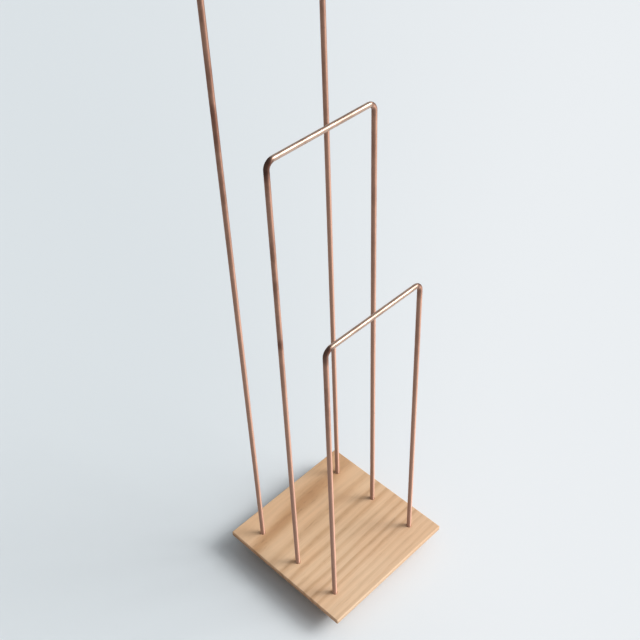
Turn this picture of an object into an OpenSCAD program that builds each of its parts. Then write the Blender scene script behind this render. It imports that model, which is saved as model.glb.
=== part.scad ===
// Air plant holder: three bent copper rod hoops of stepped height, standing in a square oak board.
// Millimetres, +Z up. The origin is the middle of the surface that the holder stands on.
// X runs along the hoops, and Y runs from the short hoop in front to the tall one behind.

/* [Board] */
// Width of the board, along the hoops
board_w = 100; // [90:1:140]
// Depth of the board, across the hoops
board_d = 100; // [90:1:140]
// Thickness of the board
board_t = 15; // [13:0.5:24]
// Height of the upright edge that shows above the bevel
edge_h = 3; // [1.5:0.5:8]
// Angle of the underside bevel, measured from the vertical
bevel_angle = 45; // [0:1:50]
// Width of the sanded arris along the top edges
arris = 0.6; // [0.2:0.1:1.5]
// Radius of the board's four upright corners
corner_r = 1; // [0.5:0.25:2.5]

/* [Hoops] */
// Diameter of the copper rod
rod_d = 3; // [2:0.25:4]
// Distance between the two legs of a hoop, centre to centre
leg_span = 72; // [50:1:74]
// Distance between neighbouring hoops, centre to centre
hoop_pitch = 34; // [22:0.5:35]
// Radius of the bends, on the rod's centre line
bend_r = 4.5; // [4:0.25:12]
// Height of the tall hoop's bar above the board, on the rod's centre line
tall_h = 408; // [330:1:460]
// Height of the medium hoop's bar above the board, on the rod's centre line
medium_h = 312; // [235:1:320]
// Height of the short hoop's bar above the board, on the rod's centre line
short_h = 216; // [120:1:225]
// Bevel filed on the rod's cut ends
rod_end_bevel = 0.3; // [0.1:0.05:0.5]

/* [Sockets] */
// Depth of the blind holes that hold the legs
socket_depth = 10; // [6:0.5:11]
// Room for glue round each leg, on the radius
glue_gap = 0.05; // [0.02:0.01:0.1]
// Bevel at the mouth of each hole
mouth_bevel = 0.3; // [0.1:0.05:0.6]
// Diameter of the centre mark that the drill's spur leaves in the floor of a hole
spur_d = 1; // [0.5:0.1:1.4]
// Depth of that centre mark
spur_depth = 0.7; // [0.3:0.1:1.5]

/* [Pads] */
// Diameter of the round pads under the board
pad_d = 12; // [8:0.5:16]
// Thickness of the pads
pad_t = 1.5; // [1:0.25:3]
// Rounding of each pad's lower rim
pad_rim = 0.4; // [0.1:0.05:0.6]
// Distance from a pad's rim to the edge of the board's flat underside
pad_inset = 2; // [0.5:0.25:4]

/* [Hidden] */
$fn = 64;

// How far the bevel draws in from the board's edge by the time it meets the underside
bevel_in = (board_t - edge_h) * tan(bevel_angle);
board_top = pad_t + board_t;
leg_foot = board_top - socket_depth;
rod_r = rod_d / 2;
socket_r = rod_r + glue_gap;
pad_x = board_w / 2 - bevel_in - pad_inset - pad_d / 2;
pad_y = board_d / 2 - bevel_in - pad_inset - pad_d / 2;
// A little extra that carries each cut clear of the face it opens
over = 0.1;

copper = [0.78, 0.50, 0.38];
oak = [0.86, 0.71, 0.55];
cork = [0.62, 0.47, 0.33];

// Section of the board: flat underside, bevel, upright edge, sanded arris and flat top
module board_section(width) {
    half = width / 2;
    polygon([
        [-half + bevel_in, 0],
        [half - bevel_in, 0],
        [half, board_t - edge_h],
        [half, board_t - arris],
        [half - arris, board_t],
        [-half + arris, board_t],
        [-half, board_t - arris],
        [-half, board_t - edge_h]
    ]);
}

// Plan of the board with its rounded corners
module board_plan() {
    square([board_w - 2 * corner_r, board_d], center = true);
    square([board_w, board_d - 2 * corner_r], center = true);
    for (x = [-1, 1], y = [-1, 1])
        translate([x * (board_w / 2 - corner_r), y * (board_d / 2 - corner_r)])
            circle(r = corner_r);
}

// The board before it is drilled, standing on its own underside
module board_blank() {
    intersection() {
        linear_extrude(board_t)
            board_plan();
        rotate([90, 0, 0])
            linear_extrude(board_d + 2 * over, center = true)
                board_section(board_w);
        rotate([90, 0, 90])
            linear_extrude(board_w + 2 * over, center = true)
                board_section(board_d);
    }
}

// One blind hole, with its mouth at the height z = 0: straight wall, bevelled mouth, spur mark
module socket() {
    translate([0, 0, -socket_depth])
        cylinder(r = socket_r, h = socket_depth + over);
    translate([0, 0, -mouth_bevel])
        cylinder(r1 = socket_r, r2 = socket_r + mouth_bevel + over, h = mouth_bevel + over);
    translate([0, 0, -socket_depth - spur_depth])
        cylinder(r1 = 0, r2 = spur_d / 2, h = spur_depth + over / 10);
}

// The oak board with its six drilled holes
module board() {
    color(oak)
        difference() {
            translate([0, 0, pad_t])
                board_blank();
            for (x = [-1, 1], row = [-1, 0, 1])
                translate([x * leg_span / 2, row * hoop_pitch, board_top])
                    socket();
        }
}

// One leg, from its bevelled foot on the floor of the hole to where the bend starts
module leg(bar_h) {
    straight = socket_depth + bar_h - bend_r;
    rotate_extrude()
        polygon([
            [0, 0],
            [rod_r - rod_end_bevel, 0],
            [rod_r, rod_end_bevel],
            [rod_r, straight],
            [0, straight]
        ]);
}

// A quarter bend, from the top of a leg to the start of the bar
module bend() {
    rotate([90, 0, 0])
        rotate_extrude(angle = 90)
            translate([bend_r, 0])
                circle(d = rod_d);
}

// One hoop: a single rod bent twice, both legs glued into the board
module hoop(bar_h, row) {
    bar_z = board_top + bar_h;
    color(copper)
        translate([0, row * hoop_pitch, 0]) {
            for (side = [-1, 1])
                translate([side * leg_span / 2, 0, leg_foot])
                    leg(bar_h);
            translate([leg_span / 2 - bend_r, 0, bar_z - bend_r])
                bend();
            translate([-leg_span / 2 + bend_r, 0, bar_z - bend_r])
                mirror([1, 0, 0])
                    bend();
            translate([0, 0, bar_z])
                rotate([0, 90, 0])
                    cylinder(r = rod_r, h = leg_span - 2 * bend_r, center = true);
        }
}

// One cork pad with a rounded lower rim, stuck under a corner of the flat underside
module pad(x, y) {
    pad_r = pad_d / 2;
    color(cork)
        translate([x * pad_x, y * pad_y, 0])
            rotate_extrude()
                union() {
                    translate([0, pad_rim])
                        square([pad_r, pad_t - pad_rim]);
                    square([pad_r - pad_rim, pad_t]);
                    translate([pad_r - pad_rim, pad_rim])
                        circle(r = pad_rim);
                }
}

board();
hoop(tall_h, 1);  // tall_hoop
hoop(medium_h, 0);  // medium_hoop
hoop(short_h, -1);  // short_hoop
pad(-1, -1);  // pad_front_left
pad(1, -1);  // pad_front_right
pad(-1, 1);  // pad_back_left
pad(1, 1);  // pad_back_right
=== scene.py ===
"""Air plant holder: finishes for the oak board, the copper hoops and the cork pads, and the stage.

All lengths are metres in the part's own frame: +Z up, X along the hoops, the origin on the floor.
"""

import math

import bpy
from bpy.props import FloatProperty, FloatVectorProperty, PointerProperty
from mathutils import Matrix, Vector


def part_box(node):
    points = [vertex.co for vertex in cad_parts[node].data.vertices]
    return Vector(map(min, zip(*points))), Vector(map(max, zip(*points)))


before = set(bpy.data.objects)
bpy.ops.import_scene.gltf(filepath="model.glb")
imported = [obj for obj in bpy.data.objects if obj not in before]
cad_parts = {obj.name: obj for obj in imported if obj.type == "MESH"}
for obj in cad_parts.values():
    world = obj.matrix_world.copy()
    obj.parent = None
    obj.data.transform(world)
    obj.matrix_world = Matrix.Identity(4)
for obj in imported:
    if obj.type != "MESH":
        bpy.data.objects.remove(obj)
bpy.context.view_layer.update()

bl_info = {
    "name": "Air plant holder",
    "version": (1, 0, 0),
    "blender": (4, 5, 0),
    "location": "View3D > Sidebar > Plant holder",
    "description": "Finishes an air plant holder of oak and copper, and sets its stage",
    "category": "Object",
}

MM = 0.001
BOARD = "board"
HOOPS = ("tall_hoop", "medium_hoop", "short_hoop")
PADS = ("pad_front_left", "pad_front_right", "pad_back_left", "pad_back_right")

BOARD_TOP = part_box(BOARD)[1].z
ROD = 3 * MM
# All hoops are equally wide, so their legs have this inner side in common
LEG_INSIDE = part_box(HOOPS[0])[1].x - ROD


def linear(red, green, blue):
    """A screen colour, 0 to 255, as the linear colour that the shaders use."""
    def channel(value):
        value /= 255
        return value / 12.92 if value <= 0.04045 else ((value + 0.055) / 1.055) ** 2.4
    return channel(red), channel(green), channel(blue)


def colour_property(name, description, screen_colour):
    return FloatVectorProperty(name=name, description=description, subtype="COLOR",
                               size=3, min=0, max=1, default=linear(*screen_colour))


def length_property(name, description, default):
    return FloatProperty(name=name, description=description, default=default,
                         min=0, precision=4, unit="LENGTH")


def share_property(name, description, default):
    return FloatProperty(name=name, description=description, default=default,
                         min=0, max=1, subtype="FACTOR")


def angle_property(name, description, degrees):
    return FloatProperty(name=name, description=description, default=math.radians(degrees),
                         subtype="ANGLE")


def place_property(name, description, default):
    return FloatVectorProperty(name=name, description=description, default=default,
                               size=3, subtype="TRANSLATION")


class OakSettings(bpy.types.PropertyGroup):
    """Colours and growth rings of the oak board"""
    pale: colour_property(
        "Late wood", "Colour between the streaks, near the tree's centre", (226, 191, 154))
    outer: colour_property(
        "Outer late wood", "Colour between the streaks, nearer the bark", (229, 195, 160))
    streak: colour_property("Early wood", "Colour of the porous streaks", (192, 149, 108))
    pore: colour_property("Pores", "Colour in the open pores", (128, 88, 56))
    patch: colour_property("Patches", "Tint of the broad warm patches", (250, 236, 224))
    end: colour_property("End grain", "Tint of the two ends", (196, 146, 104))
    # Painted shade: the tint that darkens the faces that look down
    painted_underside_shade: colour_property("Painted underside shade", "Tint of the bevel and the underside", (200, 184, 170))
    pith_y: length_property(
        "Pith across", "Where the tree's centre lay, across the board", 45 * MM)
    pith_depth: length_property("Pith depth", "How far below the top face it lay", 46.5 * MM)
    first_ring: length_property(
        "First ring", "Distance from the pith to the first streak", 48.4 * MM)
    ring: length_property("Ring width", "Distance from the first streak to the next", 7.1 * MM)
    narrowing: FloatProperty(
        name="Narrowing", description="How fast the rings get narrower outwards",
        default=810.0, min=0)
    taper: FloatProperty(
        name="Taper", description="How much the rings close in along the board",
        default=0.024, precision=3)
    wander: length_property("Wander", "How far the rings wander from true circles", 1.8 * MM)
    ripple: length_property("Ripple", "Depth of the small ripples on the rings", 0.9 * MM)
    pore_depth: length_property("Pore depth", "Depth of the open pores", 0.12 * MM)


class CopperSettings(bpy.types.PropertyGroup):
    """Finish of the copper rod"""
    # Lighter than the satin copper: burnish where plants rub the bars, and partly a painted
    # highlight
    bright: colour_property(
        "Burnished copper", "Colour where plants rub the bars", (229, 197, 176))
    satin: colour_property("Satin copper", "Colour of the clean legs", (221, 171, 146))
    # Tarnish of the spots and the scuff, and also painted shade on the upper and left legs
    tarnish_and_shade: colour_property(
        "Tarnish", "Colour where handling has browned it", (112, 58, 38))
    # Heat tint of the bends, and painted shade, darkest on the left bends; also the scuff's darker
    # tarnish
    bend_tint_and_shade: colour_property(
        "Bend tarnish", "Colour of the bends, which were heated to bend them", (84, 48, 37))
    edge: colour_property(
        "Edge tint", "Tint of the rod's rim, seen at a low angle", (160, 123, 108))
    roughness: share_property("Roughness", "Blur of the satin polish", 0.75)
    burnish: share_property("Burnish", "How much less the rubbed bars blur", 0.43)
    lay: share_property("Lay", "How much further the polish blurs along the rod", 0.93)
    film: share_property("Film", "Strength of the thin film of oxide and dust", 0.12)
    line_depth: length_property(
        "Polishing lines", "Depth of the lines that run round the rod", 0.004 * MM)
    scuff: place_property(
        "Scuff", "Middle of the browned scuff on the medium hoop",
        (-38 * MM, -1 * MM, 216 * MM))
    scuff_reach: length_property(
        "Scuff reach", "How far the scuff reaches along the leg", 6 * MM)


class CorkSettings(bpy.types.PropertyGroup):
    """Finish of the cork pads"""
    pale: colour_property("Granules", "Colour of the cork granules", (204, 164, 122))
    dark: colour_property("Binder", "Colour between the granules", (112, 78, 50))
    grain: length_property("Granule size", "Size of a cork granule", 1.1 * MM)


class StageSettings(bpy.types.PropertyGroup):
    """Floor, light and camera"""
    # The floor is painted lighter on the lamp's side and darker away from it: painted light and
    # shade
    floor: colour_property("Floor", "Colour of the floor on the lamp's side", (238, 241, 243))
    floor_painted_shade: colour_property(
        "Floor, far side", "Colour of the floor away from the lamp", (222, 228, 231))
    fade: length_property(
        "Floor fade", "How far the floor's two colours reach into each other", 0.23)
    key: FloatProperty(
        name="Key light", description="Strength of the large soft light", default=3.3, min=0)
    key_width: angle_property(
        "Key width", "How wide the soft light looks from the holder", 54)
    core: share_property("Bright middle", "Share of the light that comes from its middle", 0.4)
    core_width: angle_property("Middle width", "How wide the bright middle looks", 22)
    key_heading: angle_property(
        "Key heading", "Where the light comes from, from +X towards +Y", -45)
    key_height: angle_property("Key height", "The light's angle above the level", 37)
    room_light: FloatProperty(
        name="Room, lit side", description="Brightness of the room on the lamp's side",
        default=0.5, min=0, max=2)
    room_dark: FloatProperty(
        name="Room, dark side", description="Brightness of the room away from the lamp",
        default=0.08, min=0, max=2)
    eye: place_property("Camera", "Place of the camera", (-0.2875, -0.298, 0.5859))
    yaw: angle_property("Heading", "Camera's heading, turned from +Y towards +X", 46.88)
    pitch: angle_property("Tilt", "Camera's tilt below the level", 43.39)
    lens: FloatProperty(
        name="Lens", description="Focal length on a 36 mm sensor",
        default=57.3, min=1, subtype="DISTANCE_CAMERA")
    # Only as much shift as the photograph's framing needs
    shift_x: FloatProperty(
        name="Shift across", description="Camera's shift across the frame", default=-0.0735)
    shift_y: FloatProperty(
        name="Shift up", description="Camera's shift up the frame", default=0.028)


class Nodes:
    """Adds nodes to one material or world, with short calls for the kinds used here."""

    def __init__(self, owner, surface="Principled BSDF"):
        owner.use_nodes = True
        self.owner = owner
        self.tree = owner.node_tree
        self.surface = self.tree.nodes[surface]

    def add(self, kind, inputs=None, **settings):
        node = self.tree.nodes.new("ShaderNode" + kind)
        for key, value in settings.items():
            setattr(node, key, value)
        for key, value in (inputs or {}).items():
            self.feed(node.inputs[key], value)
        return node

    def feed(self, socket, value):
        if isinstance(value, bpy.types.NodeSocket):
            self.tree.links.new(value, socket)
        elif socket.type == "RGBA":
            socket.default_value = (*value, 1)
        else:
            socket.default_value = value

    def set_surface(self, name, value):
        self.feed(self.surface.inputs[name], value)

    def math(self, operation, *values):
        return self.add("Math", dict(enumerate(values)), operation=operation).outputs[0]

    def vector(self, operation, *values, output=0):
        node = self.add("VectorMath", dict(enumerate(values)), operation=operation)
        return node.outputs[output]

    def dot(self, vector, direction):
        return self.vector("DOT_PRODUCT", vector, direction, output="Value")

    def axes(self, vector):
        return self.add("SeparateXYZ", {0: vector}).outputs

    def noise(self, place, scale, detail=2.0, roughness=0.5):
        """Noise with that many cycles per metre along X, Y and Z; it lies round one half."""
        values = {"Vector": self.vector("MULTIPLY", place, scale), "Scale": 1.0,
                  "Detail": detail, "Roughness": roughness}
        return self.add("TexNoise", values).outputs["Fac"]

    def range(self, value, low, high, out_low=0.0, out_high=1.0, smooth=True):
        values = {"Value": value, "From Min": low, "From Max": high,
                  "To Min": out_low, "To Max": out_high}
        kind = "SMOOTHSTEP" if smooth else "LINEAR"
        return self.add("MapRange", values, interpolation_type=kind).outputs[0]

    def mix(self, factor, first, second, blend="MIX"):
        node = self.add("Mix", data_type="RGBA", blend_type=blend)
        sockets = {s.identifier: s for s in node.inputs}
        self.feed(sockets["Factor_Float"], factor)
        self.feed(sockets["A_Color"], first)
        self.feed(sockets["B_Color"], second)
        return next(s for s in node.outputs if s.identifier == "Result_Color")

    def tint(self, colour, by, factor=1.0):
        return self.mix(factor, colour, by, blend="MULTIPLY")

    def grey(self, value):
        """A number as a grey colour."""
        return self.add("CombineColor", {0: value, 1: value, 2: value}).outputs[0]

    def bump(self, height, distance, strength=1.0, below=None):
        values = {"Height": height, "Distance": distance, "Strength": strength}
        if below is not None:
            values["Normal"] = below
        return self.add("Bump", values).outputs[0]


# The oak's noises, in cycles per metre along the grain, across it and through the board
WANDER_SCALE = (14, 40, 40)
RIPPLE_SCALE = (45, 260, 260)
PATCH_SCALE = (16, 40, 40)
FIBRE_SCALE = (16, 420, 420)
FINE_FIBRE_SCALE = (55, 2300, 2300)
VESSEL_SCALE = (130, 3300, 3300)
RAY_SCALE = (60, 2600, 420)

# The parts of a season over which a streak of early wood darkens and fades
STREAK_RISE = (0.24, 0.48)
STREAK_FALL = (0.50, 0.94)
# The strength of the weakest and of the strongest streak but the first
STREAK_STRENGTH = (0.34, 0.56)
# From this year to that one the streaks get fainter, down to this share
FAINT_YEARS = (6.6, 8.2)
FAINT_SHARE = 0.4
# The years over which the colour between the streaks changes to that of the outer wood
OUTER_YEARS = (1.0, 7.5)
# The first streak is the darkest, ends in this part of its year, and fades along X to this share
FIRST_STRENGTH = 0.88
FIRST_ENDS = (0.35, 0.65)
FIRST_FADES = (5 * MM, 50 * MM)
FIRST_SHARE = 0.68

# The levels of their noises between which pores, rays and patches come to show in full
PORE_LEVELS = (0.60, 0.72)
RAY_LEVELS = (0.68, 0.76)
PATCH_LEVELS = (0.35, 0.7)
# How far the fibres and the fine fibres darken and lighten the wood
FIBRE_TONES = (0.93, 1.05)
FINE_FIBRE_TONES = (0.95, 1.04)
# The most that patches, rays, pores and end grain change the colour
PATCH_SHARE = 0.5
RAY_SHARE = 0.3
PORE_SHARE = 0.5
END_SHARE = 0.55
FIBRE_DEPTH = 0.03 * MM
# The wood's roughness varies with the fibres, and pores are this much rougher
OAK_ROUGHNESS = (0.46, 0.6)
PORE_ROUGHNESS = 0.22


def oak_years(oak, settings, place):
    """How many years after the first streak the wood grew."""
    axes = oak.axes(place)
    across = oak.math("SUBTRACT", axes["Y"], settings.pith_y)
    depth = oak.math("SUBTRACT", axes["Z"], BOARD_TOP - settings.pith_depth)
    radius = oak.math("SQRT", oak.math("ADD", oak.math("MULTIPLY", across, across),
                                       oak.math("MULTIPLY", depth, depth)))
    # The rings close in along the board, and they aren't true circles
    radius = oak.math("MULTIPLY_ADD", axes["X"], settings.taper, radius)
    wander = oak.noise(place, WANDER_SCALE)
    radius = oak.math("MULTIPLY_ADD", wander, settings.wander, radius)
    ripple = oak.noise(place, RIPPLE_SCALE)
    radius = oak.math("MULTIPLY_ADD", ripple, settings.ripple, radius)
    middle_of_noises = (settings.wander + settings.ripple) / 2
    radius = oak.math("SUBTRACT", radius, settings.first_ring + middle_of_noises)
    year = oak.math("MULTIPLY", oak.math("MULTIPLY", radius, radius), settings.narrowing)
    return oak.math("MULTIPLY_ADD", radius, 1 / settings.ring, year)


def early_wood(oak, place, year):
    """How much early wood shows: each streak starts sharply and fades out."""
    # A streak is darkest at the turn of the year, so a season starts half a year before
    counted = oak.math("ADD", year, 0.5)
    season = oak.math("FRACT", counted)
    rise = oak.range(season, *STREAK_RISE)
    fall = oak.range(season, *STREAK_FALL, 1.0, 0.0)
    weather = oak.add("TexWhiteNoise", {"W": oak.math("FLOOR", counted)},
                      noise_dimensions="1D").outputs["Value"]
    strength = oak.range(weather, 0, 1, *STREAK_STRENGTH, smooth=False)
    fainter = oak.range(year, *FAINT_YEARS, 1.0, FAINT_SHARE)
    strength = oak.math("MULTIPLY", strength, fainter)
    first = oak.range(year, *FIRST_ENDS, FIRST_STRENGTH, 0.0)
    fading = oak.range(oak.axes(place)["X"], *FIRST_FADES, 1.0, FIRST_SHARE)
    strength = oak.math("MAXIMUM", strength, oak.math("MULTIPLY", first, fading))
    return oak.math("MULTIPLY", oak.math("MULTIPLY", rise, fall), strength)


def oak_material(settings):
    """Flat-sawn oak: year rings round a pith below the board, pores, fibres and rays along X."""
    oak = Nodes(bpy.data.materials.new("oak"))
    coordinates = oak.add("TexCoord").outputs
    place = coordinates["Object"]
    year = oak_years(oak, settings, place)
    early = early_wood(oak, place, year)

    # Fibres and pores are long and thin along the grain, and dots on the end grain
    fibre = oak.noise(place, FIBRE_SCALE, detail=4, roughness=0.6)
    fine_fibre = oak.noise(place, FINE_FIBRE_SCALE, detail=3, roughness=0.6)
    pore = oak.range(oak.noise(place, VESSEL_SCALE, detail=1), *PORE_LEVELS)
    # Early wood has most of the pores
    pore = oak.math("MULTIPLY", pore, oak.math("MULTIPLY_ADD", early, 0.85, 0.15))
    ray = oak.range(oak.noise(place, RAY_SCALE, detail=1), *RAY_LEVELS)
    patch = oak.range(oak.noise(place, PATCH_SCALE), *PATCH_LEVELS, 0.0, PATCH_SHARE)

    colour = oak.mix(oak.range(year, *OUTER_YEARS), settings.pale, settings.outer)
    colour = oak.mix(early, colour, settings.streak)
    tone = oak.range(fibre, 0.25, 0.75, *FIBRE_TONES, smooth=False)
    colour = oak.tint(colour, oak.grey(tone))
    tone = oak.range(fine_fibre, 0.25, 0.75, *FINE_FIBRE_TONES, smooth=False)
    colour = oak.tint(colour, oak.grey(tone))
    colour = oak.tint(colour, settings.patch, patch)
    colour = oak.mix(oak.math("MULTIPLY", ray, RAY_SHARE), colour, settings.streak)
    colour = oak.mix(oak.math("MULTIPLY", pore, PORE_SHARE), colour, settings.pore)

    # End grain drinks more oil, so the two ends are darker
    facing = oak.axes(coordinates["Normal"])
    end = oak.range(oak.math("ABSOLUTE", facing["X"]), 0.6, 0.9, 0.0, END_SHARE)
    colour = oak.tint(colour, settings.end, end)
    # Painted shade: the faces that look down, the bevel and the underside, are darker than the top
    under = oak.range(facing["Z"], -0.6, 0.2, 1.0, 0.0)
    colour = oak.tint(colour, settings.painted_underside_shade, under)
    oak.set_surface("Base Color", colour)

    rough = oak.range(fibre, 0.2, 0.8, *OAK_ROUGHNESS)
    rough = oak.math("MULTIPLY_ADD", pore, PORE_ROUGHNESS, rough)
    oak.set_surface("Roughness", rough)
    oak.set_surface("Specular IOR Level", 0.3)
    relief = oak.bump(fine_fibre, FIBRE_DEPTH, strength=0.5)
    relief = oak.bump(oak.math("MULTIPLY", pore, -1.0), settings.pore_depth, below=relief)
    oak.set_surface("Normal", relief)
    return oak.owner


# The copper's noises, in cycles per metre along X, Y and Z
LEG_LINES_SCALE = (260, 260, 5200)
BAR_LINES_SCALE = (5200, 260, 260)
HANDLED_SCALE = (90, 90, 38)
SPOTS_SCALE = (900, 900, 900)
# The levels of their noises between which handling and spots come to show in full
HANDLED_LEVELS = (0.38, 0.66)
SPOT_LEVELS = (0.62, 0.74)

# How wide the part of a bend is where a bar changes over into a leg
BEND_CHANGE = 2.5 * MM
# How wide the part of a bend is where its browning, heat tint and painted shade, fades out along
# the bar
BEND_BROWNING_EDGE = 4 * MM
# How far below a hoop's top the bends' browning starts, and how far below it is full
BEND_BROWNING_STARTS = 13 * MM
BEND_BROWNING_FULL = 6 * MM
# How brown a bend is, heat tint and painted shade, and how light a bar is, burnish and painted
# highlight, by the handling noise
HEAT_TINT_AND_SHADE = (0.65, 0.95)
RUBBED_AND_HIGHLIT = (0.95, 0.75)

# How brown the painted shade leaves a leg low down and near its top
LEG_SHADE = (0.14, 0.72)
# The shares of a leg's height between which it gets browner
LEG_SHADE_FROM = 0.45
LEG_SHADE_TO = 0.8
# Half the width of the middle of a hoop, where its left side gives way to its right side
MIDDLE = 10 * MM
# What the right side has of the left side's browning, which is painted shade, on the legs and at
# the bends
RIGHT_LEG_SHADE = 0.6
RIGHT_BEND_SHADE = 0.25

# How brown the spots and the scuff are, and how much of the bends' darker tarnish the scuff has
SPOT_BROWN = 0.42
SCUFF_BROWN = 0.7
SCUFF_DARK = 0.35
# How far the scuff's ragged rim wanders, and the distance, less that, at which it is full
SCUFF_RIM = 4 * MM
SCUFF_FULL = -1 * MM

# How far the polishing lines darken and lighten the copper
LINE_TONES = (0.95, 1.03)
# How much rougher the browned copper is
BROWN_ROUGHNESS = 0.06


def copper_browning(copper, settings, place, top, handled):
    """How brown the rod is, from spots, the scuff and painted shade on the legs, and how much of
    it is the scuff.
    """
    axes = copper.axes(place)
    # Painted shade: the upper parts of the legs are browner, and the left legs, away from the
    # lamp, more than the right ones
    leg = top - BOARD_TOP
    leg_shade = copper.range(axes["Z"], BOARD_TOP + LEG_SHADE_FROM * leg, BOARD_TOP + LEG_SHADE_TO * leg, *LEG_SHADE)
    side = copper.range(axes["X"], -MIDDLE, MIDDLE, 1.0, RIGHT_LEG_SHADE)
    leg_shade = copper.math("MULTIPLY", leg_shade, side)
    # Where the handling noise is lowest, the painted shade is about a third
    leg_shade = copper.math("MULTIPLY", leg_shade, copper.math("MULTIPLY_ADD", handled, 0.65, 0.35))
    spots = copper.noise(place, SPOTS_SCALE, detail=3)
    spots = copper.range(spots, *SPOT_LEVELS, 0.0, SPOT_BROWN)
    brown = copper.math("MAXIMUM", leg_shade, spots)

    from_scuff = copper.vector("DISTANCE", place, settings.scuff, output="Value")
    from_scuff = copper.math("MULTIPLY_ADD", handled, -SCUFF_RIM, from_scuff)
    scuff = copper.range(from_scuff, SCUFF_FULL, settings.scuff_reach, SCUFF_BROWN, 0.0)
    return copper.math("MAXIMUM", brown, scuff), scuff


def copper_material(settings, hoop):
    """Satin copper rod: its gloss blurs along it; brown spots and a scuff, painted shade on the
    legs and bends, and bars lighter partly by a painted highlight.
    """
    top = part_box(hoop)[1].z
    copper = Nodes(bpy.data.materials.new("copper_" + hoop))
    place = copper.add("TexCoord").outputs["Object"]
    axes = copper.axes(place)
    # A bar changes over into a leg within each bend
    outward = copper.math("ABSOLUTE", axes["X"])
    on_leg = copper.range(outward, LEG_INSIDE - BEND_CHANGE, LEG_INSIDE)
    on_bar = copper.math("SUBTRACT", 1.0, on_leg)
    in_bend = copper.math("MULTIPLY", copper.range(outward, LEG_INSIDE - BEND_BROWNING_EDGE, LEG_INSIDE),
                          copper.range(axes["Z"], top - BEND_BROWNING_STARTS, top - BEND_BROWNING_FULL))
    along = copper.add("CombineXYZ", {"X": on_bar, "Y": 0.0, "Z": on_leg}).outputs[0]

    lines = copper.mix(on_leg, copper.grey(copper.noise(place, BAR_LINES_SCALE)),
                       copper.grey(copper.noise(place, LEG_LINES_SCALE)))
    lines = copper.add("RGBToBW", {0: lines}).outputs[0]
    handled = copper.noise(place, HANDLED_SCALE, detail=5, roughness=0.62)
    handled = copper.range(handled, *HANDLED_LEVELS)
    brown, scuff = copper_browning(copper, settings, place, top, handled)

    # Tarnish of the spots and the scuff, and painted shade high up and on the left legs
    colour = copper.mix(brown, settings.satin, settings.tarnish_and_shade)
    colour = copper.mix(copper.math("MULTIPLY", scuff, SCUFF_DARK), colour, settings.bend_tint_and_shade)
    # The bars are lighter: partly burnish, partly a painted highlight
    rubbed_and_highlit = copper.math("MULTIPLY", on_bar, copper.range(handled, 0.0, 1.0, *RUBBED_AND_HIGHLIT))
    colour = copper.mix(rubbed_and_highlit, colour, settings.bright)
    # The bends are browner: partly heat tint, partly painted shade
    heated = copper.math("MULTIPLY", in_bend, copper.range(handled, 0.0, 1.0, *HEAT_TINT_AND_SHADE))
    # Painted shade: the left bend of each hoop gets more of it than the right one
    side = copper.range(axes["X"], -MIDDLE, MIDDLE, 1.0, RIGHT_BEND_SHADE)
    colour = copper.mix(copper.math("MULTIPLY", heated, side), colour, settings.bend_tint_and_shade)
    tone = copper.range(lines, 0.3, 0.7, *LINE_TONES, smooth=False)
    colour = copper.tint(colour, copper.grey(tone))
    copper.set_surface("Base Color", colour)

    copper.set_surface("Metallic", 1.0)
    copper.surface.distribution = "GGX"
    copper.set_surface("Specular Tint", settings.edge)
    rough = copper.math("MULTIPLY_ADD", brown, BROWN_ROUGHNESS, settings.roughness)
    rough = copper.math("MULTIPLY_ADD", rubbed_and_highlit, -settings.burnish, rough)
    copper.set_surface("Roughness", rough)
    # The thin film of oxide and dust scatters a little white
    copper.set_surface("Sheen Weight", settings.film)
    copper.set_surface("Sheen Roughness", 0.6)
    copper.set_surface("Anisotropic", settings.lay)
    copper.set_surface("Tangent", along)
    copper.set_surface("Normal", copper.bump(lines, settings.line_depth))
    return copper.owner


# How many times finer than a granule its ragged rim and the small granules are
RIM_FINENESS = 3
SMALL_FINENESS = 2.7
# The share of the colour that comes from the small granules
SMALL_SHARE = 0.45
# How dark the darkest granules and the binder are, and how far it reaches into a granule
DARKEST_GRANULE = 0.75
BINDER_DARK = 0.7
BINDER_REACH = 0.10
# The cork's small bumps, in cycles per metre, and the depth of its relief
CORK_SCALE = (3000, 3000, 3000)
CORK_DEPTH = 0.06 * MM


def cork_material(settings):
    """Pressed cork: ragged granules of two sizes and many browns, with dark binder between."""
    cork = Nodes(bpy.data.materials.new("cork"))
    place = cork.add("TexCoord").outputs["Object"]
    # Moving each place by up to half a granule makes the granules ragged
    rim = {"Vector": place, "Scale": RIM_FINENESS / settings.grain, "Detail": 3.0}
    moved = cork.add("TexNoise", rim)
    moved = cork.vector("SUBTRACT", moved.outputs["Color"], (0.5, 0.5, 0.5))
    moved = cork.vector("MULTIPLY", moved, (settings.grain,) * 3)
    moved = cork.vector("ADD", place, moved)
    large = {"Vector": moved, "Scale": 1 / settings.grain}
    small = {"Vector": moved, "Scale": SMALL_FINENESS / settings.grain}
    shade = cork.mix(SMALL_SHARE, cork.add("TexVoronoi", large).outputs["Color"],
                     cork.add("TexVoronoi", small).outputs["Color"])
    shade = cork.add("SeparateColor", {0: shade}).outputs[0]
    shade = cork.range(shade, 0.15, 0.85, 0.0, DARKEST_GRANULE)
    edge = cork.add("TexVoronoi", large, feature="DISTANCE_TO_EDGE").outputs["Distance"]
    gap = cork.range(edge, 0.0, BINDER_REACH, BINDER_DARK, 0.0)
    colour = cork.mix(cork.math("MAXIMUM", shade, gap), settings.pale, settings.dark)
    cork.set_surface("Base Color", colour)
    cork.set_surface("Roughness", 0.85)
    cork.set_surface("Specular IOR Level", 0.25)
    height = cork.math("SUBTRACT", cork.noise(moved, CORK_SCALE), gap)
    cork.set_surface("Normal", cork.bump(height, CORK_DEPTH))
    return cork.owner


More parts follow.
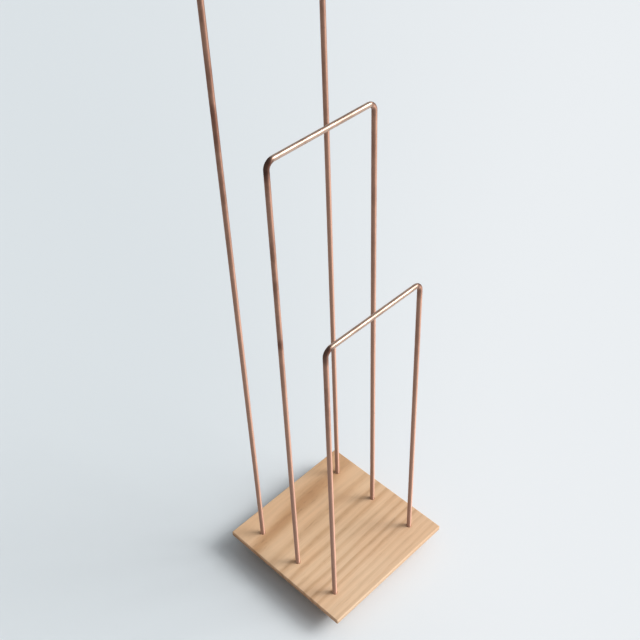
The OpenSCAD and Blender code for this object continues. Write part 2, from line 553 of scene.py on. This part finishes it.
def finish_nodes(names, material):
    """Puts one material on each of these CAD nodes."""
    for name in names:
        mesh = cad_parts[name].data
        mesh.materials.clear()
        mesh.materials.append(material)


class BoardFinish(bpy.types.Operator):
    """Finish the oak board"""
    bl_idname = "plant_holder.finish_board"
    bl_label = "Oak board"

    def execute(self, context):
        finish_nodes([BOARD], oak_material(context.scene.plant_holder_oak))
        return {"FINISHED"}


class HoopsFinish(bpy.types.Operator):
    """Finish the three copper hoops"""
    bl_idname = "plant_holder.finish_hoops"
    bl_label = "Copper hoops"

    def execute(self, context):
        for hoop in HOOPS:
            finish_nodes([hoop], copper_material(context.scene.plant_holder_copper, hoop))
        return {"FINISHED"}


class PadsFinish(bpy.types.Operator):
    """Finish the four cork pads"""
    bl_idname = "plant_holder.finish_pads"
    bl_label = "Cork pads"

    def execute(self, context):
        finish_nodes(PADS, cork_material(context.scene.plant_holder_cork))
        return {"FINISHED"}


# Half the side of the square floor, which has no edge in any view
FLOOR_REACH = 40.0
# Tint of the room's light, and the cosines to the lamp between which the room gets brighter
ROOM_TINT = (0.95, 0.975, 1.0)
ROOM_TURN = (-0.5, 0.9)
# The cosines to the lamp, on the level, between which the floor's painted shade gives way to its
# painted light
FLOOR_TURN = (-0.5, 0.5)
# Between these heights, as the upward part of a direction, the paper gives way to the room
PAPER_ENDS = (0.34, 0.54)
# How the lit floor's brightness compares with its colour
LIT_FLOOR = (0.963, 0.971, 0.981)
# Only where the lamps' signs stand in the 3D view: a sun's light is the same from any place
LAMP_DISTANCE = 2


def heading(angle, height=0.0):
    """The direction at that angle from +X towards +Y, raised above the level."""
    level = math.cos(height)
    return Vector((math.cos(angle) * level, math.sin(angle) * level, math.sin(height)))


def paper_colour(nodes, settings, place):
    """The paper's colour at a place on the floor, or far off in a direction: lighter towards the
    lamp and darker away from it, painted light and shade.
    """
    towards_lamp = nodes.dot(place, heading(settings.key_heading))
    far = nodes.math("ADD", nodes.dot(place, place), settings.fade ** 2)
    share = nodes.math("DIVIDE", towards_lamp, nodes.math("SQRT", far))
    return nodes.mix(nodes.range(share, *FLOOR_TURN), settings.floor_painted_shade, settings.floor)


def floor_material(settings):
    """Matt paper, painted lighter towards the lamp and darker away from it."""
    paper = Nodes(bpy.data.materials.new("floor_paper"))
    place = paper.add("TexCoord").outputs["Object"]
    paper.set_surface("Base Color", paper_colour(paper, settings, place))
    paper.set_surface("Roughness", 0.9)
    paper.set_surface("Specular IOR Level", 0.0)
    return paper.owner


def square(name, reach):
    """A level square round the origin."""
    corners = [(-reach, -reach, 0), (reach, -reach, 0), (reach, reach, 0), (-reach, reach, 0)]
    mesh = bpy.data.meshes.new(name)
    mesh.from_pydata(corners, [], [(0, 1, 2, 3)])
    piece = bpy.data.objects.new(name, mesh)
    bpy.context.scene.collection.objects.link(piece)
    return piece


def key_light(settings):
    """A large soft light with a brighter middle, which lights the whole floor evenly."""
    towards = heading(settings.key_heading, settings.key_height)
    for name, share, width in (("key", 1 - settings.core, settings.key_width),
                               ("key_core", settings.core, settings.core_width)):
        lamp = bpy.data.lights.new(name, "SUN")
        lamp.energy = settings.key * share
        lamp.angle = width
        key = bpy.data.objects.new(name, lamp)
        key.location = towards * LAMP_DISTANCE
        key.rotation_euler = towards.to_track_quat("Z", "Y").to_euler()
        bpy.context.scene.collection.objects.link(key)


def room(settings):
    """The room, bright on the lamp's side, and the paper that hides it low down."""
    sky = Nodes(bpy.data.worlds.new("room"), "Background")
    direction = sky.add("TexCoord").outputs["Generated"]
    facing = sky.dot(direction, heading(settings.key_heading, settings.key_height))
    level = sky.range(facing, *ROOM_TURN, settings.room_dark, settings.room_light)
    light = sky.tint(sky.grey(level), ROOM_TINT)

    # The camera and the copper see the paper, but it adds no light
    rays = sky.add("LightPath").outputs
    seen = sky.math("MAXIMUM", rays["Is Camera Ray"], rays["Is Glossy Ray"])
    seen = sky.math("MAXIMUM", seen, rays["Is Transmission Ray"])
    low = sky.range(sky.axes(direction)["Z"], *PAPER_ENDS, 1.0, 0.0)
    # As bright as the lit floor, so that the horizon doesn't show
    paper = sky.tint(paper_colour(sky, settings, direction), LIT_FLOOR)
    sky.set_surface("Color", sky.mix(sky.math("MULTIPLY", seen, low), light, paper))
    bpy.context.scene.world = sky.owner


def photo_camera(settings):
    camera = bpy.data.objects.new("camera", bpy.data.cameras.new("camera"))
    forward = heading(math.pi / 2 - settings.yaw, -settings.pitch)
    right = Vector((math.cos(settings.yaw), -math.sin(settings.yaw), 0))
    up = right.cross(forward)
    turn = Matrix((right, up, -forward)).transposed().to_4x4()
    camera.matrix_world = Matrix.Translation(Vector(settings.eye)) @ turn
    camera.data.lens = settings.lens
    camera.data.sensor_width = 36
    camera.data.shift_x = settings.shift_x
    camera.data.shift_y = settings.shift_y
    camera.data.clip_start = 10 * MM
    bpy.context.scene.collection.objects.link(camera)
    bpy.context.scene.camera = camera


class StageBuild(bpy.types.Operator):
    """Build the floor, the soft light and the camera"""
    bl_idname = "plant_holder.build_stage"
    bl_label = "Stage"

    def execute(self, context):
        settings = context.scene.plant_holder_stage
        floor = square("floor", FLOOR_REACH)
        floor.data.materials.append(floor_material(settings))
        key_light(settings)
        room(settings)
        photo_camera(settings)
        context.scene.view_settings.view_transform = "Standard"
        return {"FINISHED"}


class HolderPanel(bpy.types.Panel):
    """Lists the steps in the 3D view's sidebar"""
    bl_idname = "VIEW3D_PT_plant_holder"
    bl_label = "Plant holder"
    bl_space_type = "VIEW_3D"
    bl_region_type = "UI"
    bl_category = "Plant holder"

    def draw(self, context):
        for step in STEPS:
            self.layout.operator(step.bl_idname)
        for name, kind in SETTINGS.items():
            box = self.layout.box()
            for key in kind.__annotations__:
                box.prop(getattr(context.scene, name), key)


STEPS = (BoardFinish, HoopsFinish, PadsFinish, StageBuild)
SETTINGS = {
    "plant_holder_oak": OakSettings,
    "plant_holder_copper": CopperSettings,
    "plant_holder_cork": CorkSettings,
    "plant_holder_stage": StageSettings,
}


def register():
    for kind in (*SETTINGS.values(), *STEPS, HolderPanel):
        bpy.utils.register_class(kind)
    for name, kind in SETTINGS.items():
        setattr(bpy.types.Scene, name, PointerProperty(type=kind))


def unregister():
    for name in SETTINGS:
        delattr(bpy.types.Scene, name)
    for kind in (HolderPanel, *reversed(STEPS), *reversed(list(SETTINGS.values()))):
        bpy.utils.unregister_class(kind)


def main():
    register()
    bpy.ops.plant_holder.finish_board()
    bpy.ops.plant_holder.finish_hoops()
    bpy.ops.plant_holder.finish_pads()
    bpy.ops.plant_holder.build_stage()


if __name__ == "__main__":
    main()
